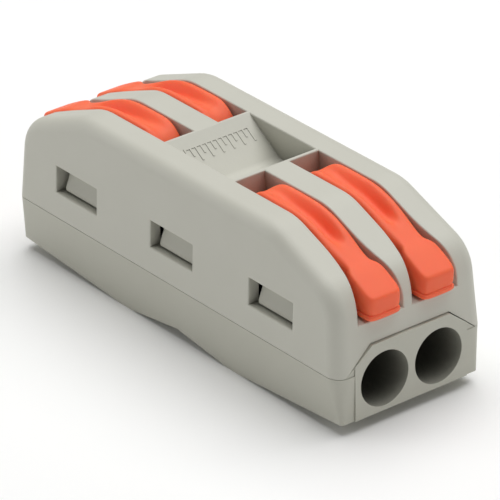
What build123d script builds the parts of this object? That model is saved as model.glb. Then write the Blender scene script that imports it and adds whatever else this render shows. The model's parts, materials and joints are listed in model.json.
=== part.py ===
from build123d import *
from math import cos, radians, sin
import os

# Lever wire connector: an in-line splice joining two pairs of wires end to end.
# Millimetres. +Z is up, X runs along the wires, Y across the two wire ways.
# The origin is the middle of the footprint, on the surface the connector rests on.

# Overall sizes
LENGTH = 38.5
WIDTH = 13.7
BASE_DEPTH = 4.7
CAP_HEIGHT = 9.2
SPLIT_GAP = 0.08
CORNER_RADIUS = 1.15
SIDE_LEAN = 0.42

# The two wire ways and what they share
WAY_OFFSET = 2.5
BORE_RADIUS = 2.2
BORE_AXIS = -1.1
BORE_STRAIGHT = 4.0
THROAT_RADIUS = 1.3
THROAT_START = 13.9
CHAMBER_END = 12.9
CHAMBER_HALF_WIDTH = 5.6
CHAMBER_CLEAR = 1.0
WEB_THICKNESS = 1.1
WEB_TOP = 0.15
RIB_ROOT = 0.2
CAP_WEB_THICKNESS = 0.8
CAP_WEB_BOTTOM = 0.3

# Outline of the cap seen from the side
CREST_END = 11.3
SHOULDER_X = 18.72
SHOULDER_Z = 6.25
CREST_RADIUS = 5.0
SHOULDER_RADIUS = 3.1

# Outline of the base seen from the side
KEEL_X = 6.5
END_DEPTH = 3.72
MIDDLE_DEPTH = 3.85
KEEL_FLAT = 0.6
END_LEAN = 0.12
BASE_SIDE_LEAN = 0.62
FOOT_CORNER_RADIUS = 0.12
FLOOR_TOP = -3.2

# Raised strip-length gauge on one slope of the valley: a bar and its ticks
GAUGE_LENGTH = 6.0
GAUGE_TICKS = 13
GAUGE_LINE = 0.15
GAUGE_PROUD = 0.12
TICK_SHORT = 0.75
TICK_LONG = 1.25
GAUGE_X = -3.05
GAUGE_DROP = 0.62
VALLEY_SLOPE = 33.9

# Lever slots and the dip between them
SLOT_WIDTH = 2.7
SLOT_START = 4.2
SLOT_OVERLAP = 0.5
VALLEY_HALF_LENGTH = 3.95
VALLEY_DEPTH = 2.35
VALLEY_HALF_WIDTH = 3.83
VALLEY_RADIUS = 1.0
VALLEY_APEX = 0.3

# Mouth of each slot, flared so that a finger reaches the sides of the lever tip
FLARE_START = 14.2
FLARE_END = 20.0
FLARE_WIDTH = 4.7
FLARE_SLOPE = 0.2
SILL_Z = 3.68

# Floor of the slot from its sill back to the spring chamber, seen from the side
SLOT_FLOOR = [(19.1, SILL_Z), (17.15, 3.85), (16.6, 4.7), (15.5, 5.35), (13.3, 6.5), (12.4, 6.5)]

# Broken edges of the mouldings
EDGE_RADIUS = 0.12

# Snap windows in the cap and the barbs of the base behind them
WINDOW_PITCH = 11.6
WINDOW_WIDTH = 5.0
WINDOW_BOTTOM = 2.1
WINDOW_TOP = 4.25
WALL = 1.1
CAVITY_TOP = 4.3
CAVITY_HALF_LENGTH = 13.9
TONGUE_WIDTH = 3.9
TONGUE_THICKNESS = 0.65
TONGUE_FOOT = -0.6
TONGUE_CLEARANCE = 0.1
TONGUE_HEADROOM = 0.2
BARB_REACH = 0.55
BARB_LIFT = 0.2
BARB_FACE = 0.25
BARB_LEAD = 0.1
TONGUE_BEVEL = 0.15

# Tunnel end plates of the base
PLATE_TOP = 1.95
PLATE_TOP_HALF = 3.6
PLATE_FOOT_HALF = 6.0
PLATE_BORDER = 5.2
PLATE_BORDER_TOP = 0.68
PLATE_PROUD = 0.03
PLATE_BACK = 17.0
PLATE_FOOT = -0.5
PLATE_SLANT = 0.6
SKIRT_TOP = -2.0
SKIRT_OVERLAP = 0.72
SKIRT_LIFT = 0.03
END_WALL = 0.06

# Lever
LEVER_WIDTH = 2.5
TIP_WIDTH = 2.9
NECK_WIDTH = 2.14
PIVOT_X = 8.2
PIVOT_Z = 5.6
CAM_RADIUS = 3.85
CAM_FLAT = 1.4
TRUNNION_RADIUS = 0.9
TRUNNION_LENGTH = 0.75
BEARING_CLEARANCE = 0.05
BEARING_END_CLEARANCE = 0.1
LEAD_IN_SHARE = 0.8
LEVER_TOP = 9.25
TIP_X = 19.6
GROOVE_RADIUS = 0.68
GROOVE_END = 14.4

# Upper face of the lever arm, the nose of its tip and its underside, seen from the side
ARM_TOP = [(10.1, 9.25), (13.3, 8.52), (15.6, 7.35), (17.7, 6.76), (19.45, 5.72)]
NOSE = [(19.45, 5.72), (19.62, 5.5), (19.5, 4.35), (19.6, 4.2), (19.55, 4.0), (19.4, 3.9)]
UNDERSIDE = [
    (19.4, 3.9),
    (17.35, 4.0),
    (16.75, 4.95),
    (15.6, 5.55),
    (13.4, 6.7),
    (11.6, 7.0),
    (10.9, 6.6),
    (9.4, 4.2),
]

# Top view of the lever: where it narrows, where it flares and where its nose bevels
NECK_START = 13.0
NECK_X = 15.4
FLARED_X = 17.6
NOSE_BEVEL_X = 19.15
NOSE_BEVEL = 0.35
GROOVE_LIFT = 0.16
GROOVE_SLOPE = 17

# Current bar and clamp springs
BAR_BOTTOM = 0.2
BAR_THICKNESS = 0.7
BAR_WIDTH = 3.3
BAR_SHOULDER = 9.4
BAR_HALF_LENGTH = 13.4
BAR_SEAT_GAP = 0.03
BAR_TOP_GAP = 0.05
TAB_WIDTH = 2.2
TAB_SIDE_GAP = 0.1
TAB_END_GAP = 0.15
STAKE_RADIUS = 0.55
STAKE_HOLE_RADIUS = 0.62
STAKE_HEIGHT = 1.0
STAKE_MIDDLE = 0.3
SADDLE_HALF_LENGTH = 0.9
SADDLE_HALF_WIDTH = 4.6
SPRING_THICKNESS = 0.3
SPRING_WIDTH = 3.5
SPRING_LEG_X = 10.45
SPRING_TOP = 4.15
SPRING_LOOP_X = 5.4
SPRING_BEND = 0.5
SPRING_FOOT = 0.6
SPRING_SEAT_GAP = 0.03
CAGE_WINDOW = 2.5
CAGE_BOTTOM = -0.5
CAGE_BAR = 0.6
CAGE_SHOULDER = 0.5

ENDS = {"front": 1, "rear": -1}
SIDES = {"left": 1, "right": -1}


def block(x_low, x_high, y_low, y_high, z_low, z_high):
    """A box given by its limits along each axis."""
    size = Box(x_high - x_low, y_high - y_low, z_high - z_low)
    centre = ((x_low + x_high) / 2, (y_low + y_high) / 2, (z_low + z_high) / 2)
    return Pos(*centre) * size


def side_plate(points, half_width, y_centre=0):
    """A closed X-Z outline thickened evenly to both sides of y_centre."""
    face = Plane.XZ * make_face(Polyline(*points, close=True))
    return Pos(0, y_centre, 0) * extrude(face, half_width, both=True)


def end_prism(points, x_low, x_high):
    """A closed Y-Z outline carried along X between two stations."""
    face = Plane.YZ * make_face(Polyline(*points, close=True))
    return Pos(x_low, 0, 0) * extrude(face, x_high - x_low)


def four_ways(shape):
    """The same shape at both ends and both sides, as one list."""
    near = [shape, mirror(shape, Plane.XZ)]
    far = [mirror(item, Plane.YZ) for item in near]
    return near + far


def in_place(shape, end, side):
    """Put a piece drawn for the +X end on y=0 into its wire way and its end."""
    turn = 0 if end > 0 else 180
    return Rot(0, 0, turn) * (Pos(0, end * side * WAY_OFFSET, 0) * shape)


def corner_edges(solid, x_limit, y_limit):
    """Upright edges that stand at the four outer corners."""
    edges = []
    for edge in solid.edges():
        middle = edge.center()
        if abs(middle.X) > x_limit and abs(middle.Y) > y_limit:
            if edge.bounding_box().size.Z > 1:
                edges.append(edge)
    return edges


def cap_outer():
    """The cap before anything is hollowed out of it."""
    half = LENGTH / 2
    points = [
        (-half, 0),
        (half, 0),
        (SHOULDER_X, SHOULDER_Z),
        (CREST_END, CAP_HEIGHT),
        (-CREST_END, CAP_HEIGHT),
        (-SHOULDER_X, SHOULDER_Z),
    ]
    outline = make_face(Polyline(*points, close=True))
    crests = outline.vertices().filter_by(lambda v: abs(v.Y - CAP_HEIGHT) < 0.01)
    outline = fillet(crests, CREST_RADIUS)
    shoulders = outline.vertices().filter_by(lambda v: abs(v.Y - SHOULDER_Z) < 0.01)
    outline = fillet(shoulders, SHOULDER_RADIUS)
    arch = extrude(Plane.XZ * outline, WIDTH, both=True)
    lean = SIDE_LEAN / CAP_HEIGHT
    tall = CAP_HEIGHT + 1
    section = [
        (-WIDTH / 2, 0),
        (WIDTH / 2, 0),
        (WIDTH / 2 - lean * tall, tall),
        (-WIDTH / 2 + lean * tall, tall),
    ]
    body = arch & end_prism(section, -LENGTH, LENGTH)
    rim = []
    for edge in body.edges():
        middle = edge.center()
        if abs(middle.Y) > WIDTH / 2 - 0.6 and middle.Z > 0.1:
            rim.append(edge)
    return fillet(rim, CORNER_RADIUS)


def valley():
    """The dip across the middle of the cap, with a rounded floor."""
    points = [
        (-VALLEY_HALF_LENGTH, 0),
        (0, -VALLEY_DEPTH - VALLEY_APEX),
        (VALLEY_HALF_LENGTH, 0),
        (VALLEY_HALF_LENGTH, 2),
        (-VALLEY_HALF_LENGTH, 2),
    ]
    outline = make_face(Polyline(*points, close=True))
    floor = outline.vertices().filter_by(lambda v: v.Y < -1)
    outline = fillet(floor, VALLEY_RADIUS)
    dip = extrude(Plane.XZ * outline, VALLEY_HALF_WIDTH, both=True)
    return Pos(0, 0, CAP_HEIGHT) * dip


def slot_plan():
    """Top view of one lever slot: parallel walls that flare around the lever tip."""
    half = SLOT_WIDTH / 2
    mouth = FLARE_WIDTH / 2
    wall = Line((SLOT_START, half), (FLARE_START, half))
    flank = Spline((FLARE_START, half), (FLARE_END, mouth), tangents=((1, 0), (1, FLARE_SLOPE)))
    lip = Line((FLARE_END, mouth), (LENGTH, mouth))
    near = wall + flank + lip
    front = Line((LENGTH, mouth), (LENGTH, -mouth))
    back = Line((SLOT_START, -half), (SLOT_START, half))
    return make_face(near + mirror(near, Plane.XZ) + front + back)


def lever_slot():
    """Room for one lever at the +X, +Y position, down into the spring chamber."""
    floor = CAVITY_TOP - SLOT_OVERLAP
    points = [
        (SLOT_START, floor),
        (SLOT_START, CAP_HEIGHT + 1),
        (LENGTH, CAP_HEIGHT + 1),
        (LENGTH, SILL_Z),
        *SLOT_FLOOR,
        (SLOT_FLOOR[-1][0], floor),
    ]
    room = side_plate(points, FLARE_WIDTH) & extrude(slot_plan(), 2 * CAP_HEIGHT)
    return Pos(0, WAY_OFFSET, 0) * room


def bearing():
    """Trunnion hole of the +X, +Y lever with the lead-in it is snapped through."""
    radius = TRUNNION_RADIUS + BEARING_CLEARANCE
    reach = LEVER_WIDTH / 2 + TRUNNION_LENGTH + BEARING_END_CLEARANCE
    hole = Rot(90, 0, 0) * Cylinder(radius, 2 * reach)
    half = radius * LEAD_IN_SHARE
    lead = block(-half, half, -reach, reach, CAVITY_TOP - PIVOT_Z - BEARING_END_CLEARANCE, 0)
    return Pos(PIVOT_X, WAY_OFFSET, PIVOT_Z) * (hole + lead)


def plate_outline(grow):
    """End view of the tunnel block above the parting plane."""
    return [
        (-PLATE_FOOT_HALF - grow, 0),
        (-PLATE_FOOT_HALF - grow, PLATE_FOOT),
        (PLATE_FOOT_HALF + grow, PLATE_FOOT),
        (PLATE_FOOT_HALF + grow, 0),
        (PLATE_TOP_HALF + grow * PLATE_SLANT, PLATE_TOP + grow),
        (-PLATE_TOP_HALF - grow * PLATE_SLANT, PLATE_TOP + grow),
    ]


def length_gauge():
    """Raised strip-length marks on one slope of the valley: a bar and its ticks."""
    marks = [Box(GAUGE_LINE, GAUGE_LENGTH, GAUGE_PROUD)]
    pitch = (GAUGE_LENGTH - GAUGE_LINE) / (GAUGE_TICKS - 1)
    for step in range(GAUGE_TICKS):
        tall = TICK_SHORT if step % 2 else TICK_LONG
        y = (GAUGE_LINE - GAUGE_LENGTH) / 2 + step * pitch
        marks.append(Pos(tall / 2, y, 0) * Box(tall, GAUGE_LINE, GAUGE_PROUD))
    place = Pos(GAUGE_X, 0, CAP_HEIGHT - GAUGE_DROP) * Rot(0, VALLEY_SLOPE, 0)
    return [place * mark for mark in marks]


def is_rim(edge, skin):
    """Whether an edge is a crisp rim of a slot, a window or the valley."""
    middle = edge.center()
    run = edge.position_at(0.9) - edge.position_at(0.1)
    spots = [edge.position_at(share) for share in (0.15, 0.5, 0.85)]
    if any(min(face.distance_to(spot) for face in skin) > 0.004 for spot in spots):
        return False
    if abs(middle.Y) > WIDTH / 2 - 0.25:
        in_height = WINDOW_BOTTOM - 0.1 < middle.Z < WINDOW_TOP + 0.1
        reach = WINDOW_WIDTH / 2 + 0.1
        return in_height and min(abs(abs(middle.X) - x) for x in (0, WINDOW_PITCH)) < reach
    if middle.Z < SILL_Z - 0.1 or abs(middle.Y) > WAY_OFFSET + FLARE_WIDTH / 2 + 0.05:
        return False
    if abs(run.Y) > 0.99 * run.length:
        return abs(middle.X) < SLOT_START + 0.1 or middle.Z < SILL_Z + 0.1
    return True


def rim_edges(body, outer):
    """Crisp rims where the slots, the windows and the valley meet the outer skin."""
    skin = outer.faces()
    high = body.edges().filter_by(lambda edge: edge.center().Z > WINDOW_BOTTOM - 0.1)
    return [edge for edge in high if is_rim(edge, skin)]


def make_top_housing():
    """Upper shell: arch, snap windows, lever slots, bearings and spring chamber."""
    outer = cap_outer()
    body = outer
    body -= block(
        -CAVITY_HALF_LENGTH,
        CAVITY_HALF_LENGTH,
        -WIDTH / 2 + WALL,
        WIDTH / 2 - WALL,
        -1,
        CAVITY_TOP,
    )
    web = CAP_WEB_THICKNESS / 2
    body += block(-CAVITY_HALF_LENGTH, CAVITY_HALF_LENGTH, -web, web, CAP_WEB_BOTTOM, CAVITY_TOP)
    for y_side in (-1, 1):
        for x_mid in (-WINDOW_PITCH, 0, WINDOW_PITCH):
            low = x_mid - WINDOW_WIDTH / 2
            high = x_mid + WINDOW_WIDTH / 2
            near, far = sorted((y_side * 5, y_side * 8))
            body -= block(low, high, near, far, WINDOW_BOTTOM, WINDOW_TOP)
    body -= valley()
    for cut in four_ways(lever_slot()):
        body -= cut
    for cut in four_ways(bearing()):
        body -= cut
    for x_low, x_high in ((CHAMBER_END, LENGTH), (-LENGTH, -CHAMBER_END)):
        body -= end_prism(plate_outline(SPLIT_GAP), x_low, x_high)
    body -= block(-LENGTH, LENGTH, -WIDTH, WIDTH, -2, SPLIT_GAP / 2)
    body = fillet(rim_edges(body, outer), EDGE_RADIUS)
    for mark in length_gauge():
        body += mark
    return body


def base_outer():
    """The base tray before it is hollowed out, with its two keels underneath."""
    half = LENGTH / 2
    points = [
        (LENGTH, 0),
        (LENGTH, -END_DEPTH),
        (half - END_LEAN, -END_DEPTH),
        (KEEL_X + KEEL_FLAT, -BASE_DEPTH),
        (KEEL_X - KEEL_FLAT, -BASE_DEPTH),
        (0, -MIDDLE_DEPTH),
        (-KEEL_X + KEEL_FLAT, -BASE_DEPTH),
        (-KEEL_X - KEEL_FLAT, -BASE_DEPTH),
        (-half + END_LEAN, -END_DEPTH),
        (-LENGTH, -END_DEPTH),
        (-LENGTH, 0),
    ]
    rim = RectangleRounded(LENGTH, WIDTH, CORNER_RADIUS)
    end_lean = END_LEAN * BASE_DEPTH / END_DEPTH
    foot_length = LENGTH - 2 * end_lean
    foot_width = WIDTH - 2 * BASE_SIDE_LEAN
    foot = RectangleRounded(foot_length, foot_width, FOOT_CORNER_RADIUS)
    tray = loft([Pos(0, 0, -BASE_DEPTH) * foot, rim], ruled=True)
    return tray & side_plate(points, WIDTH)


def wire_tunnel():
    """Entry bore, funnel and throat of the +X, +Y wire way, as a cutting shape."""
    straight_from = LENGTH / 2 - BORE_STRAIGHT
    half_outline = [
        (CHAMBER_END - 1, 0),
        (CHAMBER_END - 1, THROAT_RADIUS),
        (THROAT_START, THROAT_RADIUS),
        (straight_from, BORE_RADIUS),
        (LENGTH, BORE_RADIUS),
        (LENGTH, 0),
    ]
    face = Plane.XZ * make_face(Polyline(*half_outline, close=True))
    return Pos(0, WAY_OFFSET, BORE_AXIS) * revolve(face, Axis.X)


def snap_tongue(x_mid):
    """Upright tongue of the +Y side with an outward barb for the snap window."""
    inner = WIDTH / 2 - WALL - TONGUE_CLEARANCE - TONGUE_THICKNESS
    outer = inner + TONGUE_THICKNESS
    barb_low = WINDOW_BOTTOM + BARB_LIFT
    tongue_top = CAVITY_TOP - TONGUE_HEADROOM
    outline = [
        (inner, TONGUE_FOOT),
        (outer, TONGUE_FOOT),
        (outer, barb_low),
        (outer + BARB_REACH, barb_low),
        (outer + BARB_REACH, barb_low + BARB_FACE),
        (outer, tongue_top - BARB_LEAD),
        (outer - TONGUE_BEVEL, tongue_top),
        (inner, tongue_top),
    ]
    return end_prism(outline, x_mid - TONGUE_WIDTH / 2, x_mid + TONGUE_WIDTH / 2)


def make_base_cover():
    """Lower tray: tunnels and end plates, rests for the current bars, snap tongues."""
    body = base_outer()
    body -= block(
        -CHAMBER_END,
        CHAMBER_END,
        -CHAMBER_HALF_WIDTH,
        CHAMBER_HALF_WIDTH,
        FLOOR_TOP,
        CHAMBER_CLEAR,
    )
    wall = LENGTH / 2 - END_WALL
    for x_low, x_high in ((CHAMBER_END, wall), (-wall, -CHAMBER_END)):
        body += end_prism(plate_outline(0), x_low, x_high)
    proud = LENGTH / 2 + PLATE_PROUD
    for x_low, x_high in ((PLATE_BACK, proud), (-proud, -PLATE_BACK)):
        face = [
            (-PLATE_BORDER, SKIRT_TOP - SKIRT_OVERLAP),
            (PLATE_BORDER, SKIRT_TOP - SKIRT_OVERLAP),
            (PLATE_BORDER, PLATE_BORDER_TOP),
            (PLATE_TOP_HALF, PLATE_TOP),
            (-PLATE_TOP_HALF, PLATE_TOP),
            (-PLATE_BORDER, PLATE_BORDER_TOP),
        ]
        skirt_low = SKIRT_LIFT - END_DEPTH
        skirt = block(x_low, x_high, -PLATE_BORDER, PLATE_BORDER, skirt_low, SKIRT_TOP)
        body += end_prism(face, x_low, x_high)
        body += skirt
    web = WEB_THICKNESS / 2
    root = FLOOR_TOP - RIB_ROOT
    body += block(-CHAMBER_END, CHAMBER_END, -web, web, root, WEB_TOP)
    seat = BAR_BOTTOM - BAR_SEAT_GAP
    body += block(
        -SADDLE_HALF_LENGTH,
        SADDLE_HALF_LENGTH,
        -SADDLE_HALF_WIDTH,
        SADDLE_HALF_WIDTH,
        root,
        seat,
    )
    for side in (-1, 1):
        body += Pos(0, side * WAY_OFFSET, STAKE_MIDDLE) * Cylinder(STAKE_RADIUS, STAKE_HEIGHT)
    for cut in four_ways(wire_tunnel()):
        body -= cut
    rest = block(
        CHAMBER_END - 1,
        BAR_HALF_LENGTH + TAB_END_GAP,
        WAY_OFFSET - TAB_WIDTH / 2 - TAB_SIDE_GAP,
        WAY_OFFSET + TAB_WIDTH / 2 + TAB_SIDE_GAP,
        seat,
        BAR_BOTTOM + BAR_THICKNESS + BAR_TOP_GAP,
    )
    for cut in four_ways(rest):
        body -= cut
    for x_mid in (-WINDOW_PITCH, 0, WINDOW_PITCH):
        tongue = snap_tongue(x_mid)
        body += tongue
        body += mirror(tongue, Plane.XZ)
    return body


def make_busbar(side):
    """Tinned copper bar that joins the two clamps of one wire way."""
    top = BAR_BOTTOM + BAR_THICKNESS
    y_low = WAY_OFFSET - BAR_WIDTH / 2
    y_high = WAY_OFFSET + BAR_WIDTH / 2
    bar = block(-BAR_SHOULDER, BAR_SHOULDER, y_low, y_high, BAR_BOTTOM, top)
    tab_low = WAY_OFFSET - TAB_WIDTH / 2
    tab_high = WAY_OFFSET + TAB_WIDTH / 2
    bar += block(-BAR_HALF_LENGTH, BAR_HALF_LENGTH, tab_low, tab_high, BAR_BOTTOM, top)
    bar -= Pos(0, WAY_OFFSET, BAR_BOTTOM) * Cylinder(STAKE_HOLE_RADIUS, 4 * BAR_THICKNESS)
    return in_place(Pos(0, -WAY_OFFSET, 0) * bar, 1, side)


def make_clamp_spring(end, side):
    """Cage clamp: lower leg on the bar, round loop, top leg and windowed front leg."""
    mid = SPRING_THICKNESS / 2
    low = BAR_BOTTOM + BAR_THICKNESS + SPRING_SEAT_GAP + mid
    high = SPRING_TOP - mid
    loop_radius = (high - low) / 2
    bend = SPRING_BEND
    foot_x = BAR_SHOULDER - SPRING_FOOT
    lower_leg = Line((foot_x, low), (SPRING_LOOP_X, low))
    loop_middle = (SPRING_LOOP_X - loop_radius, low + loop_radius)
    loop = ThreePointArc((SPRING_LOOP_X, low), loop_middle, (SPRING_LOOP_X, high))
    upper_leg = Line((SPRING_LOOP_X, high), (SPRING_LEG_X - bend, high))
    knee_x = SPRING_LEG_X - bend + bend * sin(radians(45))
    knee_z = high - bend + bend * cos(radians(45))
    knee = ThreePointArc(
        (SPRING_LEG_X - bend, high), (knee_x, knee_z), (SPRING_LEG_X, high - bend)
    )
    front_leg = Line((SPRING_LEG_X, high - bend), (SPRING_LEG_X, CAGE_BOTTOM))
    path = Plane.XZ * Wire([lower_leg, loop, upper_leg, knee, front_leg])
    across = Plane(origin=(foot_x, 0, low), x_dir=(0, 1, 0), z_dir=(-1, 0, 0))
    section = across * Rectangle(SPRING_WIDTH, SPRING_THICKNESS)
    strip = sweep(section, path=path)
    window = block(
        SPRING_LEG_X - 2 * SPRING_THICKNESS,
        SPRING_LEG_X + 2 * SPRING_THICKNESS,
        -CAGE_WINDOW / 2,
        CAGE_WINDOW / 2,
        CAGE_BOTTOM + CAGE_BAR,
        high - bend - CAGE_SHOULDER,
    )
    return in_place(strip - window, end, side)


def lever_profile():
    """Side view of the +X lever: cam drum, arm that follows the arch, thick tip."""
    lift = LEVER_TOP - PIVOT_Z
    crown_x = PIVOT_X - (CAM_RADIUS**2 - lift**2) ** 0.5
    heel_x = PIVOT_X - (CAM_RADIUS**2 - CAM_FLAT**2) ** 0.5
    cam_back = ThreePointArc(
        (heel_x, PIVOT_Z - CAM_FLAT),
        (PIVOT_X - CAM_RADIUS * cos(radians(20)), PIVOT_Z + CAM_RADIUS * sin(radians(20))),
        (crown_x, LEVER_TOP),
    )
    crown = Line((crown_x, LEVER_TOP), ARM_TOP[0])
    arm_top = Spline(*ARM_TOP, tangents=((1, 0), (1, -0.75)))
    nose = Polyline(*NOSE)
    underside = Polyline(*UNDERSIDE, (heel_x, PIVOT_Z - CAM_FLAT))
    return make_face(cam_back + crown + arm_top + nose + underside)


def lever_plan():
    """Top view of the +X lever: straight root, narrow neck, flared tip."""
    root = LEVER_WIDTH / 2
    neck = NECK_WIDTH / 2
    tip = TIP_WIDTH / 2
    heel = PIVOT_X - CAM_RADIUS - 1
    nose = TIP_X + 0.05
    straight = Line((heel, root), (NECK_START, root))
    bends = [(NECK_START, root), (NECK_X, neck), (FLARED_X, tip)]
    flank = Spline(*bends, tangents=((1, 0), (1, 0.02)))
    tip_side = Line((FLARED_X, tip), (NOSE_BEVEL_X, tip))
    bevel = Line((NOSE_BEVEL_X, tip), (nose, tip - NOSE_BEVEL))
    near = straight + flank + tip_side + bevel
    front = Line((nose, tip - NOSE_BEVEL), (nose, NOSE_BEVEL - tip))
    back = Line((heel, -root), (heel, root))
    return make_face(near + mirror(near, Plane.XZ) + front + back)


def make_lever(end, side):
    """Rocker lever with its cam drum and two trunnions in one moulding."""
    body = extrude(Plane.XZ * lever_profile(), 2, both=True)
    body = body & extrude(lever_plan(), 12)
    level = LEVER_TOP + GROOVE_LIFT
    groove = Pos(CREST_END / 2, 0, level) * Rot(0, 90, 0) * Cylinder(GROOVE_RADIUS, CREST_END)
    run_out = GROOVE_END + 1.2 - CREST_END
    slope = Pos(CREST_END - 0.1, 0, level) * Rot(0, GROOVE_SLOPE, 0)
    tail = slope * (Pos(run_out / 2, 0, 0) * (Rot(0, 90, 0) * Cylinder(GROOVE_RADIUS, run_out)))
    body -= groove
    body -= tail
    axle = 2 * TRUNNION_LENGTH + LEVER_WIDTH
    body += Pos(PIVOT_X, 0, PIVOT_Z) * (Rot(90, 0, 0) * Cylinder(TRUNNION_RADIUS, axle))
    return in_place(body, end, side)


nodes = {
    "top_housing": make_top_housing(),
    "base_cover": make_base_cover(),
}
for side_name, side in SIDES.items():
    nodes[f"busbar_{side_name}"] = make_busbar(side)
    for end_name, end in ENDS.items():
        nodes[f"lever_{end_name}_{side_name}"] = make_lever(end, side)
        nodes[f"clamp_spring_{end_name}_{side_name}"] = make_clamp_spring(end, side)

os.makedirs("parts", exist_ok=True)
for name, shape in nodes.items():
    raised = Pos(0, 0, BASE_DEPTH) * shape
    export_step(raised, f"parts/{name}.step")
    print(name, len(shape.solids()), round(shape.volume, 2))
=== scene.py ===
"""Lever wire connector: an in-line splice with four rocker levers, dressed on its frame."""
import json
import logging
import math
from dataclasses import dataclass, field
from enum import Enum

import bmesh
import bpy
from mathutils import Matrix, Vector


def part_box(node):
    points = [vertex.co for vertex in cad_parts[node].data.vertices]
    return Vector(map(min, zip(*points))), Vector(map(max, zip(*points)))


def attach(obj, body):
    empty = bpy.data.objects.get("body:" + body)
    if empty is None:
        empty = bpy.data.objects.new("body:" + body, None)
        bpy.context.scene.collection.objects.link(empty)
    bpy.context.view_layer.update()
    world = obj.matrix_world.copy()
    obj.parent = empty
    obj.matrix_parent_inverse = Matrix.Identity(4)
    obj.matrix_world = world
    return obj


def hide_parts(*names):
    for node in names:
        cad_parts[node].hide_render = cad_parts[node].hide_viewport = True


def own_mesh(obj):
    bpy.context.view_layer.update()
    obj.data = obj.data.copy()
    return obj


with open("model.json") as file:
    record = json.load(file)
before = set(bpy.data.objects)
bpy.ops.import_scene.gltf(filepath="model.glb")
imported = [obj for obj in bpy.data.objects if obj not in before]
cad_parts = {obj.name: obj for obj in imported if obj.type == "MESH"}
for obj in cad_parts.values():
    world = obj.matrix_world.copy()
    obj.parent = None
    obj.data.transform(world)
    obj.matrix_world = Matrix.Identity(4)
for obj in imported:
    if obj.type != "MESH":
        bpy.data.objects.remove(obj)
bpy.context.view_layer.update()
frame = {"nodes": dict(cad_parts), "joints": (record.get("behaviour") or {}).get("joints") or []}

logging.basicConfig(level=logging.INFO, format="%(levelname)s %(message)s")
log = logging.getLogger("connector")

MM = 0.001
Point = tuple[float, float]
Spot = tuple[float, float, float]
Colour = tuple[float, float, float, float]


class End(Enum):
    """The two ends of the connector, by the sign of X."""

    FRONT = 1
    REAR = -1


class Side(Enum):
    """The two wire ways, by the sign of Y."""

    LEFT = 1
    RIGHT = -1


def way_name(end: End, side: Side) -> str:
    """Name of one wire position, such as front_left."""
    return f"{end.name.lower()}_{side.name.lower()}"


# --- modelling helpers, all in millimetres with z = 0 on the parting plane ---


def activate(piece: bpy.types.Object) -> None:
    """Makes a piece the only selected object and the active one.

    Args:
        piece: The object that the next operators act on.
    """
    if bpy.context.object and bpy.context.object.mode != "OBJECT":
        bpy.ops.object.mode_set(mode="OBJECT")
    bpy.ops.object.select_all(action="DESELECT")
    piece.select_set(True)
    bpy.context.view_layer.objects.active = piece


def corner_arc(before: Point, corner: Point, after: Point, radius: float) -> list[Point]:
    """Points of the arc that rounds one corner of an outline.

    Args:
        before: The outline's corner before this one.
        corner: The corner to round.
        after: The outline's corner after this one.
        radius: Radius of the rounding.

    Returns:
        The arc's points in the outline's order.
    """
    p, a, b = Vector(corner), Vector(before), Vector(after)
    u, v = (a - p).normalized(), (b - p).normalized()
    half = u.angle(v) / 2
    centre = p + (u + v).normalized() * radius / math.sin(half)
    start = p + u * radius / math.tan(half) - centre
    turn = start.angle_signed(p + v * radius / math.tan(half) - centre)
    facet = math.radians(5)
    steps = max(2, round(abs(turn) / facet))
    points = []
    for i in range(steps + 1):
        spun = start.copy()
        spun.rotate(Matrix.Rotation(-turn * i / steps, 2))
        points.append(tuple(centre + spun))
    return points


def rounded(corners: list[Spot]) -> list[Point]:
    """Turns corners with radii into an outline.

    Args:
        corners: Each corner's two coordinates and its radius.

    Returns:
        The closed outline's points.
    """
    points: list[Point] = []
    count = len(corners)
    for i, (u, v, radius) in enumerate(corners):
        before, after = corners[i - 1][:2], corners[(i + 1) % count][:2]
        points += corner_arc(before, (u, v), after, radius)
    return points


def start_vertex(name: str, spot: Vector) -> bpy.types.Object:
    """Starts a piece from one vertex and leaves it selected in edit mode.

    Args:
        name: Name of the new piece.
        spot: Place of the vertex.

    Returns:
        The new piece.
    """
    if bpy.context.object and bpy.context.object.mode != "OBJECT":
        bpy.ops.object.mode_set(mode="OBJECT")
    bpy.ops.object.select_all(action="DESELECT")
    bpy.ops.mesh.primitive_plane_add(size=0.5)
    piece = bpy.context.object
    piece.name = name
    bpy.ops.object.mode_set(mode="EDIT")
    bpy.ops.mesh.select_all(action="SELECT")
    bpy.ops.mesh.merge(type="CENTER")
    bpy.ops.transform.translate(value=spot)
    return piece


def plate(name: str, outline: list[Point], low: float, high: float) -> bpy.types.Object:
    """Traces an outline by extruding one vertex, fills it and thickens it.

    Args:
        name: Name of the new piece.
        outline: Closed outline seen from above.
        low: Height of its lower face.
        high: Height of its upper face.

    Returns:
        The new solid.
    """
    piece = start_vertex(name, Vector((*outline[0], low)))
    for here, there in zip(outline, outline[1:]):
        step = (there[0] - here[0], there[1] - here[1], 0)
        bpy.ops.mesh.extrude_vertices_move(TRANSFORM_OT_translate={"value": step})
    bpy.ops.mesh.select_all(action="SELECT")
    bpy.ops.mesh.edge_face_add()
    bpy.ops.mesh.extrude_region_move(TRANSFORM_OT_translate={"value": (0, 0, high - low)})
    bpy.ops.mesh.select_all(action="SELECT")
    bpy.ops.mesh.normals_make_consistent(inside=False)
    bpy.ops.object.mode_set(mode="OBJECT")
    return piece


def block(name: str, low: Spot, high: Spot) -> bpy.types.Object:
    """A box between two corners.

    Args:
        name: Name of the new piece.
        low: The lowest corner.
        high: The highest corner.

    Returns:
        The new box.
    """
    lo, hi = Vector(low), Vector(high)
    bpy.ops.object.select_all(action="DESELECT")
    bpy.ops.mesh.primitive_cube_add(size=1, location=(lo + hi) / 2, scale=hi - lo)
    piece = bpy.context.object
    piece.name = name
    bpy.ops.object.transform_apply(location=True, rotation=True, scale=True)
    return piece


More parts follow.
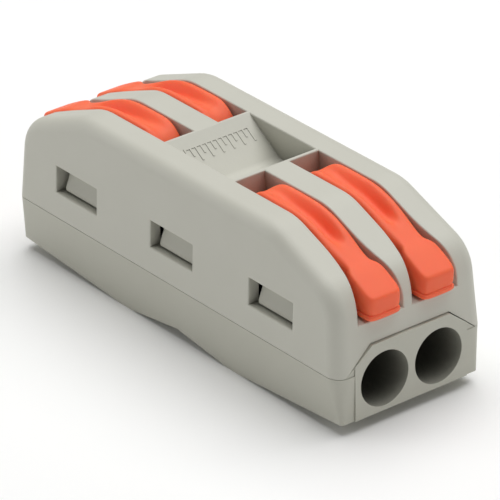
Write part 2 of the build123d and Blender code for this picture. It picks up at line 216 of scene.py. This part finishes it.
def rod(name: str, start: Spot, end: Spot, radius: float, sides: int = 64) -> bpy.types.Object:
    """A round bar between two points.

    Args:
        name: Name of the new piece.
        start: Centre of the first end.
        end: Centre of the second end.
        radius: Radius of the bar.
        sides: Facets around the bar.

    Returns:
        The new bar.
    """
    a, b = Vector(start), Vector(end)
    bpy.ops.object.select_all(action="DESELECT")
    bpy.ops.mesh.primitive_cone_add(
        vertices=sides, radius1=radius, radius2=radius,
        depth=(b - a).length, location=(a + b) / 2,
        rotation=(b - a).to_track_quat("Z", "Y").to_euler(),
    )
    piece = bpy.context.object
    piece.name = name
    bpy.ops.object.transform_apply(location=True, rotation=True, scale=True)
    return piece


def combine(body: bpy.types.Object, tool: bpy.types.Object, how: str = "DIFFERENCE") -> None:
    """Cuts, joins or intersects a body with a tool piece, which is used up.

    Args:
        body: The solid that is kept.
        tool: The solid that shapes it.
        how: The Boolean modifier's operation.
    """
    activate(body)
    change = body.modifiers.new("shape", "BOOLEAN")
    change.operation = how
    change.object = tool
    change.solver = "EXACT"
    bpy.ops.object.modifier_apply(modifier=change.name)
    bpy.data.objects.remove(tool)


def soften(
    body: bpy.types.Object, width: float, segments: int = 2, angle: float = 35
) -> None:
    """Breaks every crisp edge with a narrow rounding, as tumbling and polishing leave it.

    Args:
        body: The solid to soften.
        width: Width of the rounding.
        segments: Facets across the rounding.
        angle: Edges that turn by more than this, in degrees, are rounded.
    """
    activate(body)
    change = body.modifiers.new("soften", "BEVEL")
    change.width = width
    change.segments = segments
    change.limit_method = "ANGLE"
    change.angle_limit = math.radians(angle)
    change.use_clamp_overlap = True
    change.miter_outer = "MITER_ARC"
    bpy.ops.object.modifier_apply(modifier=change.name)


def settle(body: bpy.types.Object, lift: float, turn: float = 0, slide: float = 0) -> None:
    """Scales a finished piece from millimetres into the frame and bakes its place into its mesh.

    Args:
        body: The finished piece.
        lift: Height of the parting plane in millimetres.
        turn: Angle about Z in degrees.
        slide: Place across the wire ways in millimetres, before the turn.
    """
    activate(body)
    crease = math.radians(32)
    body.rotation_euler = (0, 0, math.radians(turn))
    body.location = Vector((0, slide, lift)) * MM
    body.scale = (MM, MM, MM)
    bpy.ops.object.transform_apply(location=True, rotation=True, scale=True)
    bpy.ops.object.shade_smooth_by_angle(angle=crease)


# --- finishes ---


def linear(hex_colour: str) -> Colour:
    """Turns an sRGB hex colour into linear RGBA."""
    channels = [int(hex_colour[i : i + 2], 16) / 255 for i in (1, 3, 5)]
    curve = [c / 12.92 if c <= 0.04045 else ((c + 0.055) / 1.055) ** 2.4 for c in channels]
    return (*curve, 1.0)


def add_node(
    tree: bpy.types.NodeTree, kind: str, settings: dict | None = None, links: dict | None = None
) -> bpy.types.Node:
    """Adds one node with its settings and links.

    Args:
        tree: The material's node tree.
        kind: The node's type name.
        settings: Values by socket name or property name.
        links: Sources by socket name, each an output socket.

    Returns:
        The new node.
    """
    node = tree.nodes.new(kind)
    for key, value in (settings or {}).items():
        if hasattr(node, key):
            setattr(node, key, value)
        else:
            node.inputs[key].default_value = value
    for key, source in (links or {}).items():
        tree.links.new(source, node.inputs[key])
    return node


@dataclass(frozen=True)
class MouldedPolyamide:
    """Unfilled polyamide straight from an eroded steel mould.

    Lengths are in millimetres. The grain is coarser than real spark erosion, about 0.05 mm,
    because anything finer can't be seen at the size of the whole connector.
    """

    name: str
    colour: str
    shade: str
    roughness: float
    grain_mm: float = 0.22
    grain_height_mm: float = 0.012
    cloud_mm: float = 5.0
    subsurface: float = 0.0
    glow: Spot = (1.0, 0.25, 0.1)
    glow_mm: float = 0.8
    gloss: float = 0.45
    # Painted shade in hollows: how far the occlusion looks, how dark and in what colour it paints,
    # and the occlusion levels where it is full (deep) and where it fades out (shallow).
    painted_shade_mm: float = 3.5
    painted_shade: float = 0.8
    painted_shade_colour: str = "#4A473C"
    deep: float = 0.12
    shallow: float = 0.66

    def make(self) -> bpy.types.Material:
        """Builds the finish.

        Returns:
            The finished material.
        """
        material = bpy.data.materials.new(self.name)
        material.use_nodes = True
        tree = material.node_tree
        skin = tree.nodes["Principled BSDF"]
        where = add_node(tree, "ShaderNodeTexCoord").outputs["Object"]
        # Flow of the melt: the eye sees broad clouds, a shade lighter and darker.
        cloud = add_node(
            tree, "ShaderNodeTexNoise",
            {"Scale": 1 / (self.cloud_mm * MM), "Detail": 3.0, "Roughness": 0.5}, {"Vector": where},
        )
        tint = add_node(
            tree, "ShaderNodeMix", {"data_type": "RGBA"}, {"Factor": cloud.outputs["Fac"]}
        )
        tint.inputs["A"].default_value = linear(self.shade)
        tint.inputs["B"].default_value = linear(self.colour)
        # Painted shade: ambient occlusion of the piece itself paints slots, windows, bores and
        # grooves darker towards their depth.
        recess = add_node(
            tree, "ShaderNodeAmbientOcclusion",
            {"samples": 8, "only_local": True, "Distance": self.painted_shade_mm * MM},
        )
        depth = add_node(
            tree, "ShaderNodeMapRange",
            {"From Min": self.deep, "From Max": self.shallow, "To Min": self.painted_shade, "To Max": 0.0},
            {"Value": recess.outputs["AO"]},
        )
        shaded_colour = add_node(
            tree, "ShaderNodeMix", {"data_type": "RGBA"}, {"Factor": depth.outputs["Result"]}
        )
        tree.links.new(tint.outputs["Result"], shaded_colour.inputs["A"])
        shaded_colour.inputs["B"].default_value = linear(self.painted_shade_colour)
        tree.links.new(shaded_colour.outputs["Result"], skin.inputs["Base Color"])
        # Eroded mould wall: the eye sees a satin sheen that breaks up into a fine grain.
        grain = add_node(
            tree, "ShaderNodeTexNoise",
            {"Scale": 1 / (self.grain_mm * MM), "Detail": 2.0, "Roughness": 0.6}, {"Vector": where},
        )
        sheen = add_node(
            tree, "ShaderNodeMapRange",
            {"To Min": self.roughness - 0.05, "To Max": self.roughness + 0.06},
            {"Value": cloud.outputs["Fac"]},
        )
        tree.links.new(sheen.outputs["Result"], skin.inputs["Roughness"])
        bump = add_node(
            tree, "ShaderNodeBump",
            {"Strength": 0.35, "Distance": self.grain_height_mm * MM},
            {"Height": grain.outputs["Fac"]},
        )
        tree.links.new(bump.outputs["Normal"], skin.inputs["Normal"])
        skin.inputs["IOR"].default_value = 1.53
        skin.inputs["Specular IOR Level"].default_value = self.gloss
        if self.subsurface:
            # Unfilled nylon lets light in: the eye sees warm, soft edges on thin parts.
            skin.inputs["Subsurface Weight"].default_value = self.subsurface
            skin.inputs["Subsurface Radius"].default_value = self.glow
            skin.inputs["Subsurface Scale"].default_value = self.glow_mm * MM
        return material


@dataclass(frozen=True)
class RolledStrip:
    """Cold-rolled metal strip, bright or tin plated."""

    name: str
    colour: str
    roughness: float
    line_mm: float = 0.05
    line_colour: str = "#8F8F8C"
    stretch: float = 0.05

    def make(self) -> bpy.types.Material:
        """Builds the finish.

        Returns:
            The finished material.
        """
        material = bpy.data.materials.new(self.name)
        material.use_nodes = True
        tree = material.node_tree
        skin = tree.nodes["Principled BSDF"]
        skin.inputs["Metallic"].default_value = 1.0
        where = add_node(tree, "ShaderNodeTexCoord").outputs["Object"]
        # Rolling marks: the eye sees fine lines along the strip that dull its shine a little.
        along = add_node(
            tree, "ShaderNodeMapping", {"Scale": (self.stretch, 1.0, 1.0)}, {"Vector": where}
        )
        lines = add_node(
            tree, "ShaderNodeTexNoise",
            {"Scale": 1 / (self.line_mm * MM), "Detail": 2.0}, {"Vector": along.outputs["Vector"]},
        )
        tint = add_node(
            tree, "ShaderNodeMix", {"data_type": "RGBA"}, {"Factor": lines.outputs["Fac"]}
        )
        tint.inputs["A"].default_value = linear(self.line_colour)
        tint.inputs["B"].default_value = linear(self.colour)
        tree.links.new(tint.outputs["Result"], skin.inputs["Base Color"])
        rough = add_node(
            tree, "ShaderNodeMapRange",
            {"To Min": self.roughness - 0.06, "To Max": self.roughness + 0.08},
            {"Value": lines.outputs["Fac"]},
        )
        tree.links.new(rough.outputs["Result"], skin.inputs["Roughness"])
        return material


def dress(piece: bpy.types.Object, finish: bpy.types.Material) -> None:
    """Gives a piece one finish all over."""
    piece.data.materials.clear()
    piece.data.materials.append(finish)


# --- the connector ---


@dataclass
class Layout:
    """Places that every sub-assembly shares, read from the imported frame."""

    half_gap: float = 0.04
    parting: float = field(init=False)
    way: float = field(init=False)
    pivot_x: float = field(init=False)
    pivot_z: float = field(init=False)

    def __post_init__(self) -> None:
        """Reads the parting height, the wire way offset and the lever pivots."""
        self.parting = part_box("top_housing")[0].z / MM - self.half_gap
        hinge = next(j for j in frame["joints"] if j["name"] == "lever_front_left_hinge")
        self.pivot_x, self.way, height = (v / MM for v in hinge["pos_m"])
        self.pivot_z = height - self.parting


LAYOUT = Layout()


@dataclass(frozen=True)
class Section:
    """One station of the lever: its upper and lower middle, half width and groove."""

    top: Point
    bottom: Point
    half: float
    groove: float = 0.0
    shoulder: float = 0.27
    foot: float = 0.16
    bed: Point = (0.24, 0.88)
    flank: Point = (0.5, 0.03)

    def ring(self) -> list[Vector]:
        """Places the sixteen corners of this station.

        Returns:
            The corners in order around the section.
        """
        top = Vector((self.top[0], 0, self.top[1]))
        down = Vector((self.bottom[0], 0, self.bottom[1])) - top
        thick = down.length
        down.normalize()
        w, c, foot = self.half, self.shoulder, self.foot
        right = [
            *((w * share, -fall * self.groove) for share, fall in (self.bed, self.flank)),
            (w - c, 0.0), (w, -c), (w, -thick / 2), (w, foot - thick), (w - foot, -thick),
        ]
        left = [(-y, n) for y, n in reversed(right)]
        around = [(0.0, -self.groove), *right, (0.0, -thick), *left]
        return [top + Vector((0, y, 0)) - down * n for y, n in around]


@dataclass
class Lever:
    """Rocker lever: cam drum, thumb arm with a run-out groove, thick tip with a lip."""

    root: float = 1.31
    neck: float = 1.12
    tip: float = 1.49
    trunnion_radius: float = 0.9
    trunnion_reach: float = 2.0
    lip_top: float = 4.36
    lip_start: float = 17.5
    lip_steps: tuple[Point, ...] = (
        (0.03, 1.115), (0.08, 1.02), (0.22, 1.0), (0.07, 0.97), (0.02, 0.8),
    )
    lip_stretch: float = 1.2
    nose_crown: Spot = (0.1, 0.0, -0.02)
    nose_taper: Spot = (1.0, 0.8, 0.8)

    def sections(self) -> list[Section]:
        """Stations from the flat heel of the drum round its back and along the arm.

        Returns:
            The stations in order.
        """
        r, n, t = self.root, self.neck, self.tip
        return [
            Section((4.61, 4.22), (9.4, 4.22), r, shoulder=0.16),
            Section((4.58, 4.4), (9.46, 4.36), r, shoulder=0.16),
            Section((4.33, 5.6), (9.9, 5.0), r, shoulder=0.16),
            Section((4.6, 7.0), (10.3, 5.7), r, shoulder=0.16),
            Section((5.5, 8.35), (10.6, 6.2), r, shoulder=0.2),
            Section((6.1, 8.88), (10.75, 6.45), r, 0.06),
            Section((6.7, 9.2), (11.0, 6.7), r, 0.5),
            Section((7.4, 9.26), (11.3, 6.85), r, 1.02),
            Section((8.4, 9.26), (11.7, 7.0), r, 1.2),
            Section((9.4, 9.26), (12.0, 7.0), r, 1.2),
            Section((10.6, 9.24), (12.3, 6.98), r, 1.2),
            Section((11.6, 9.09), (12.7, 6.9), r, 1.2),
            Section((12.5, 8.84), (13.1, 6.8), r, 1.1),
            Section((13.3, 8.52), (13.6, 6.6), r - 0.01, 0.9),
            Section((13.95, 8.2), (14.15, 6.33), r - 0.02, 0.55),
            Section((14.5, 7.92), (14.7, 6.05), r - 0.04, 0.16),
            Section((15.2, 7.58), (15.3, 5.72), r - 0.1),
            Section((15.9, 7.3), (15.9, 5.42), n + 0.02),
            Section((16.35, 7.14), (16.35, 5.15), n, shoulder=0.22),
            Section((16.6, 7.07), (16.6, 4.98), n + 0.02, shoulder=0.2),
            Section((16.9, 7.0), (16.85, 4.8), t - 0.16, shoulder=0.18),
            Section((17.25, 6.89), (17.15, 4.5), t - 0.03, shoulder=0.17),
            Section((17.7, 6.7), (17.5, self.lip_top), t, shoulder=0.17),
            Section((18.6, 6.24), (18.45, self.lip_top), t, shoulder=0.17),
            Section((19.15, 5.95), (19.1, self.lip_top), t - 0.02, shoulder=0.17),
            Section((19.5, 5.76), (19.42, self.lip_top), t - 0.16, shoulder=0.17),
        ]

    def arm(self) -> bpy.types.Object:
        """Draws the body out station by station, then lowers the lip and smooths it.

        Returns:
            The body without its trunnions.
        """
        stations = self.sections()
        bpy.ops.object.select_all(action="DESELECT")
        ring = stations[0].ring()
        bpy.ops.mesh.primitive_circle_add(vertices=len(ring), radius=1, fill_type="NGON")
        body = bpy.context.object
        body.name = "lever"
        for vertex, spot in zip(body.data.vertices, ring):
            vertex.co = spot
        bpy.ops.object.mode_set(mode="EDIT")
        bpy.ops.mesh.select_mode(type="FACE")
        bpy.ops.mesh.select_all(action="SELECT")
        for station in stations[1:]:
            following = station.ring()
            bpy.ops.mesh.extrude_region_move(TRANSFORM_OT_translate={"value": (0, 0, 0)})
            net = bmesh.from_edit_mesh(body.data)
            for vertex in (v for v in net.verts if v.select):
                nearest = min(range(len(ring)), key=lambda i: (ring[i] - vertex.co).length)
                vertex.co = following[nearest]
            bmesh.update_edit_mesh(body.data)
            ring = following
        bpy.ops.mesh.extrude_region_move(TRANSFORM_OT_translate={"value": self.nose_crown})
        bpy.ops.transform.resize(value=self.nose_taper)
        bpy.ops.mesh.select_all(action="SELECT")
        bpy.ops.mesh.normals_make_consistent(inside=False)
        self.lip(body)
        bpy.ops.object.mode_set(mode="OBJECT")
        activate(body)
        smooth = body.modifiers.new("smooth", "SUBSURF")
        smooth.levels = smooth.render_levels = 2
        bpy.ops.object.modifier_apply(modifier=smooth.name)
        return body

    def lip(self, body: bpy.types.Object) -> None:
        """Draws the lip down from the underside of the tip.

        Args:
            body: The body in edit mode.
        """
        net = bmesh.from_edit_mesh(body.data)
        for face in net.faces:
            middle = face.calc_center_median()
            under = face.normal.z < -0.85 and middle.z < self.lip_top + 0.05
            face.select_set(under and middle.x > self.lip_start)
        bmesh.update_edit_mesh(body.data)
        for fall, grow in self.lip_steps:
            bpy.ops.mesh.extrude_region_move(TRANSFORM_OT_translate={"value": (0, 0, -fall)})
            bpy.ops.transform.resize(value=(1 + (grow - 1) * self.lip_stretch, grow, 1))

    def build(self) -> bpy.types.Object:
        """Models the master lever in millimetres, for the +X end on y = 0.

        Returns:
            The master lever.
        """
        body = self.arm()
        x, z, reach = LAYOUT.pivot_x, LAYOUT.pivot_z, self.trunnion_reach
        axle = rod("axle", (x, -reach, z), (x, reach, z), self.trunnion_radius, sides=48)
        soften(axle, 0.1)
        combine(body, axle, "UNION")
        return body

    def place(
        self, master: bpy.types.Object, end: End, side: Side, finish: bpy.types.Material
    ) -> None:
        """Copies the master into one wire position.

        Args:
            master: The master lever in millimetres.
            end: Which end of the connector.
            side: Which wire way.
            finish: The lever's material.
        """
        name = f"lever_{way_name(end, side)}"
        piece = master.copy()
        piece.data = master.data.copy()
        piece.name = f"{name}_moulding"
        bpy.context.scene.collection.objects.link(piece)
        turn = 0 if end is End.FRONT else 180
        settle(piece, LAYOUT.parting, turn, LAYOUT.way * side.value)
        dress(piece, finish)
        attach(piece, name)
        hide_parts(name)
        log.info("%s on %s", piece.name, name)


@dataclass
class CurrentBar:
    """Tinned copper bar under one wire way, necked at both ends and staked in its middle."""

    bottom: float = 0.2
    top: float = 0.9
    half_width: float = 1.65
    tab_half: float = 1.1
    shoulder: float = 9.4
    half_length: float = 13.4
    stake_radius: float = 0.62

    def outline(self) -> list[Point]:
        """Top view of the bar with its rounded shoulders and tab ends.

        Returns:
            The closed outline.
        """
        w, t, s, e = self.half_width, self.tab_half, self.shoulder, self.half_length
        outer, inner, end = 0.25, 0.12, 0.2
        half = [
            (s, -w, outer), (s, -t, inner), (e, -t, end),
            (e, t, end), (s, t, inner), (s, w, outer),
        ]
        return rounded([*half, *((-x, -y, radius) for x, y, radius in half)])

    def build(self, side: Side, finish: bpy.types.Material) -> None:
        """Models one bar in its wire way.

        Args:
            side: Which wire way.
            finish: The bar's material.
        """
        name = f"busbar_{side.name.lower()}"
        bar = plate(f"{name}_strip", self.outline(), self.bottom, self.top)
        foot, head = (0, 0, self.bottom - 1), (0, 0, self.top + 1)
        combine(bar, rod("stake", foot, head, self.stake_radius))
        soften(bar, 0.05)
        settle(bar, LAYOUT.parting, 0, LAYOUT.way * side.value)
        dress(bar, finish)
        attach(bar, "housing")
        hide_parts(name)
        log.info("%s on housing", bar.name)


@dataclass
class ClampSpring:
    """Cage clamp bent from spring strip: foot, round loop, top leg and windowed front leg."""

    thickness: float = 0.3
    width: float = 3.5
    low: float = 1.08
    high: float = 4.0
    foot_x: float = 8.8
    loop_x: float = 5.4
    front_x: float = 10.45
    bend: float = 0.5
    front_end: float = -0.5
    window_half: float = 1.25
    window_low: float = 0.1
    window_high: float = 3.0
    seat: float = 0.93
    pressed: float = 0.255

    def path(self) -> list[Point]:
        """Middle line of the strip seen from the side.

        Returns:
            The line's points from the foot on the bar to the end of the front leg.
        """
        rise = (self.high - self.low) / 2
        loop_turns = [math.radians(a) for a in range(0, 181, 10)]
        knee_turns = [math.radians(a) for a in range(0, 91, 15)]
        loop = [
            (self.loop_x - rise * math.sin(a), self.low + rise * (1 - math.cos(a)))
            for a in loop_turns
        ]
        back, top = self.front_x - self.bend, self.high - self.bend
        knee = [
            (back + self.bend * math.sin(a), top + self.bend * math.cos(a))
            for a in knee_turns
        ]
        return [(self.foot_x, self.low), *loop, *knee, (self.front_x, self.front_end)]

    def build(self) -> bpy.types.Object:
        """Models the master spring in millimetres, for the +X end on y = 0.

        Returns:
            The master spring.
        """
        line = self.path()
        strip = start_vertex("clamp", Vector((line[0][0], -self.width / 2, line[0][1])))
        for here, there in zip(line, line[1:]):
            step = (there[0] - here[0], 0, there[1] - here[1])
            bpy.ops.mesh.extrude_vertices_move(TRANSFORM_OT_translate={"value": step})
        bpy.ops.mesh.select_all(action="SELECT")
        bpy.ops.mesh.extrude_region_move(TRANSFORM_OT_translate={"value": (0, self.width, 0)})
        bpy.ops.mesh.select_all(action="SELECT")
        bpy.ops.mesh.normals_make_consistent(inside=False)
        bpy.ops.object.mode_set(mode="OBJECT")
        activate(strip)
        wall = strip.modifiers.new("wall", "SOLIDIFY")
        wall.thickness = self.thickness
        wall.offset = 0
        wall.use_even_offset = True
        bpy.ops.object.modifier_apply(modifier=wall.name)
        half, reach = self.window_half, 2 * self.thickness
        low = (self.front_x - reach, -half, self.window_low)
        high = (self.front_x + reach, half, self.window_high)
        combine(strip, block("window", low, high))
        soften(strip, 0.05)
        return strip

    def place(
        self, master: bpy.types.Object, end: End, side: Side, finish: bpy.types.Material
    ) -> None:
        """Copies the master into one wire position.

        Args:
            master: The master spring in millimetres.
            end: Which end of the connector.
            side: Which wire way.
            finish: The spring's material.
        """
        way = way_name(end, side)
        spring = master.copy()
        spring.data = master.data.copy()
        spring.name = f"clamp_{way}_strip"
        bpy.context.scene.collection.objects.link(spring)
        turn = 0 if end is End.FRONT else 180
        settle(spring, LAYOUT.parting, turn, LAYOUT.way * side.value)
        dress(spring, finish)
        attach(spring, "housing")
        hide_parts(f"clamp_spring_{way}")
        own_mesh(spring)
        log.info("%s on housing", spring.name)


@dataclass
class Studio:
    """Pale floor, soft lights and the camera."""

    azimuth: float = 52.16
    elevation: float = 27.96
    roll: float = -1.24
    distance_mm: float = 356.6
    lens_mm: float = 346.9
    aim_right_mm: float = 0.466
    aim_up_mm: float = 0.481
    floor_size: float = 4.0
    sky_strength: float = 0.14
    target: Spot = (0.0, 0.0, 0.007)

    def floor(self) -> None:
        """Lays the pale floor."""
        bpy.ops.object.select_all(action="DESELECT")
        bpy.ops.mesh.primitive_plane_add(size=self.floor_size, location=(0, 0, 0))
        ground = bpy.context.object
        ground.name = "floor"
        # Matt background paper: the eye sees an even, nearly white ground without a shine.
        paper = bpy.data.materials.new("matt_background_paper")
        paper.use_nodes = True
        skin = paper.node_tree.nodes["Principled BSDF"]
        skin.inputs["Base Color"].default_value = linear("#FBFBFA")
        skin.inputs["Roughness"].default_value = 0.9
        skin.inputs["Specular IOR Level"].default_value = 0.2
        ground.data.materials.append(paper)

    def light(self, name: str, place: Spot, size: float, power: float) -> None:
        """Adds one soft area light that faces the object.

        Args:
            name: Name of the light.
            place: Position in metres.
            size: Edge length in metres.
            power: Power in watts.
        """
        lamp = bpy.data.lights.new(name, "AREA")
        lamp.size = size
        lamp.energy = power
        holder = bpy.data.objects.new(name, lamp)
        bpy.context.scene.collection.objects.link(holder)
        holder.location = place
        aim = Vector(self.target) - Vector(place)
        holder.rotation_euler = aim.to_track_quat("-Z", "Y").to_euler()

    def lights(self) -> None:
        """Sets the sky and the lamps."""
        world = bpy.data.worlds.new("sky")
        bpy.context.scene.world = world
        world.use_nodes = True
        sky = world.node_tree.nodes["Background"]
        sky.inputs["Color"].default_value = (1.0, 1.0, 1.0, 1.0)
        sky.inputs["Strength"].default_value = self.sky_strength
        self.light("top_softbox", (-0.06, 0.14, 0.6), 0.75, 4.9)
        self.light("left_softbox", (-0.42, -0.42, 0.14), 0.3, 0.6)
        self.light("right_softbox", (0.5, 0.25, 0.14), 0.3, 0.26)

    def camera(self) -> None:
        """Sets the camera on the object's middle."""
        a, e, r = (math.radians(v) for v in (self.azimuth, self.elevation, self.roll))
        back = Vector((math.sin(a) * math.cos(e), -math.cos(a) * math.cos(e), math.sin(e)))
        level = Vector((math.cos(a), math.sin(a), 0))
        upright = back.cross(level)
        right = level * math.cos(r) + upright * math.sin(r)
        up = upright * math.cos(r) - level * math.sin(r)
        aim = Vector((0, 0, LAYOUT.parting)) + right * self.aim_right_mm + up * self.aim_up_mm
        data = bpy.data.cameras.new("camera")
        data.lens = self.lens_mm
        data.sensor_width = 36
        data.clip_start, data.clip_end = 0.01, 10
        holder = bpy.data.objects.new("camera", data)
        bpy.context.scene.collection.objects.link(holder)
        turn = Matrix((right, up, back)).transposed().to_4x4()
        holder.matrix_world = Matrix.Translation((aim + back * self.distance_mm) * MM) @ turn
        bpy.context.scene.camera = holder

    def build(self) -> None:
        """Builds the whole studio."""
        bpy.context.scene.view_settings.view_transform = "Standard"
        self.floor()
        self.lights()
        self.camera()


def main() -> None:
    """Builds and dresses the connector in order."""
    # Warm light grey shells: the base is a shade darker, and its bores get a deeper, darker painted
    # shade.
    cap_grey = MouldedPolyamide(
        "moulded_polyamide_grey", "#C9C8BD", "#C3C2B6", 0.52, painted_shade=0.86
    )
    base_grey = MouldedPolyamide(
        "moulded_polyamide_grey_base", "#C0BFB3", "#BBBAAD", 0.52,
        painted_shade_mm=6.0, painted_shade=0.9, painted_shade_colour="#2E2C24",
    )
    # Orange levers: unfilled and translucent, so light scatters warm through their thin edges;
    # their grooves and pits get a dark red painted shade.
    orange = MouldedPolyamide(
        "moulded_polyamide_orange", "#FF714A", "#FC6A43", 0.56, subsurface=0.5,
        painted_shade_mm=1.6, painted_shade=0.7, painted_shade_colour="#C0300E", gloss=0.35,
    )
    # Metals of the clamps: bright stainless strip for the springs, duller tin for the bars.
    steel = RolledStrip("rolled_spring_steel", "#B9B8B4", 0.3)
    tin = RolledStrip("tin_plated_copper", "#CFCDC6", 0.42)
    lever, spring, bar = orange.make(), steel.make(), tin.make()
    for name, finish in (("top_housing", cap_grey), ("base_cover", base_grey)):
        dress(frame["nodes"][name], finish.make())
        log.info("%s keeps its frame shape", name)
    for side in Side:
        CurrentBar().build(side, bar)
    for maker, finish in ((ClampSpring(), spring), (Lever(), lever)):
        master = maker.build()
        for end in End:
            for side in Side:
                maker.place(master, end, side, finish)
        bpy.data.objects.remove(master)
    Studio().build()


if __name__ == "__main__":
    main()
